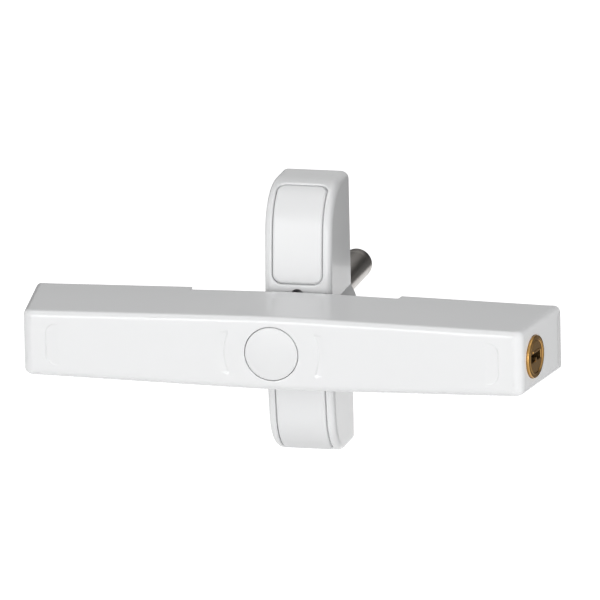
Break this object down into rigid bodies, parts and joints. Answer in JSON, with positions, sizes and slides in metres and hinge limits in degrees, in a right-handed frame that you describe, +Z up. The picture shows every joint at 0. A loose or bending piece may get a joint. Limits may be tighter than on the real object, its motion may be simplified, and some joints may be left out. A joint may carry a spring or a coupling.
{
  "type": "window security lock",
  "caption": "Surface-mounted window lock: an upright base and a long bar that turns across two sashes, locked by a key cylinder in the bar's end.",
  "frame": {"origin": "on the pivot axis, in the plane where the base's back lies on the sash", "axes": "+X towards the lock end of the bar, +Y into the window, +Z up"},
  "size_m": [0.2858, 0.1898, 0.1484],
  "materials": {
    "white_paint": "smooth white powder coat, satin gloss",
    "zinc_plate": "zinc-plated steel",
    "steel": "hardened steel",
    "fastener_steel": "zinc-plated fasteners",
    "nickel": "bright nickel plate",
    "lock_brass": "polished brass",
    "bearing_bronze": "sintered bronze",
    "black_rubber": "matt black rubber"
  },
  "bodies": {
    "base": {"base_housing": "white_paint", "upper_screw_cover": "white_paint", "lower_screw_cover": "white_paint", "base_plate": "zinc_plate", "housing_screws": "fastener_steel", "hub_spacer": "zinc_plate", "index_plate": "steel", "index_plate_screws": "fastener_steel", "stop_pin": "steel", "pivot_shaft": "steel", "thrust_washer": "bearing_bronze", "wave_washer": "fastener_steel", "retaining_washer": "fastener_steel", "retaining_nut": "fastener_steel", "through_rod": "steel", "sleeve_nut": "nickel"},
    "bar": {"bar_cover": "white_paint", "pivot_cap": "white_paint", "bar_core": "zinc_plate", "pivot_block": "zinc_plate", "pivot_bush": "bearing_bronze", "bearing_plate": "zinc_plate", "bearing_plate_screws": "fastener_steel", "left_back_plate": "zinc_plate", "right_back_plate": "zinc_plate", "left_buffer": "black_rubber", "right_buffer": "black_rubber", "back_plate_screws": "fastener_steel", "lock_cylinder": "lock_brass", "cylinder_bracket": "zinc_plate", "cylinder_screw": "fastener_steel", "rod_guide": "zinc_plate", "pin_guide": "steel"},
    "plug": {"lock_plug": "lock_brass", "plug_ring": "fastener_steel", "lock_cam": "lock_brass"},
    "rod": {"lock_rod": "steel", "follower_peg": "steel", "cross_dowel": "steel"},
    "pin": {"lock_pin": "steel"}
  },
  "joints": [
    {"name": "bar_swivel", "type": "hinge", "parent": "base", "child": "bar", "pos_m": [0, 0, 0], "axis": [0, -1, 0], "range_deg": [0, 90]},
    {"name": "plug_turn", "type": "hinge", "parent": "bar", "child": "plug", "pos_m": [0.13751, -0.0828, 0], "axis": [-0.9905, 0.1374, 0], "range_deg": [0, 90]},
    {"name": "rod_slide", "type": "slide", "parent": "bar", "child": "rod", "axis": [-0.9905, 0.1374, 0], "range_m": [0, 0.005]},
    {"name": "pin_slide", "type": "slide", "parent": "bar", "child": "pin", "axis": [0, 1, 0], "range_m": [0, 0.008]}
  ],
  "couplings": [
    {"joint": "plug_turn", "follows": "rod_slide", "rad_per_m": 314.16},
    {"joint": "pin_slide", "follows": "rod_slide", "ratio": 1.6}
  ]
}
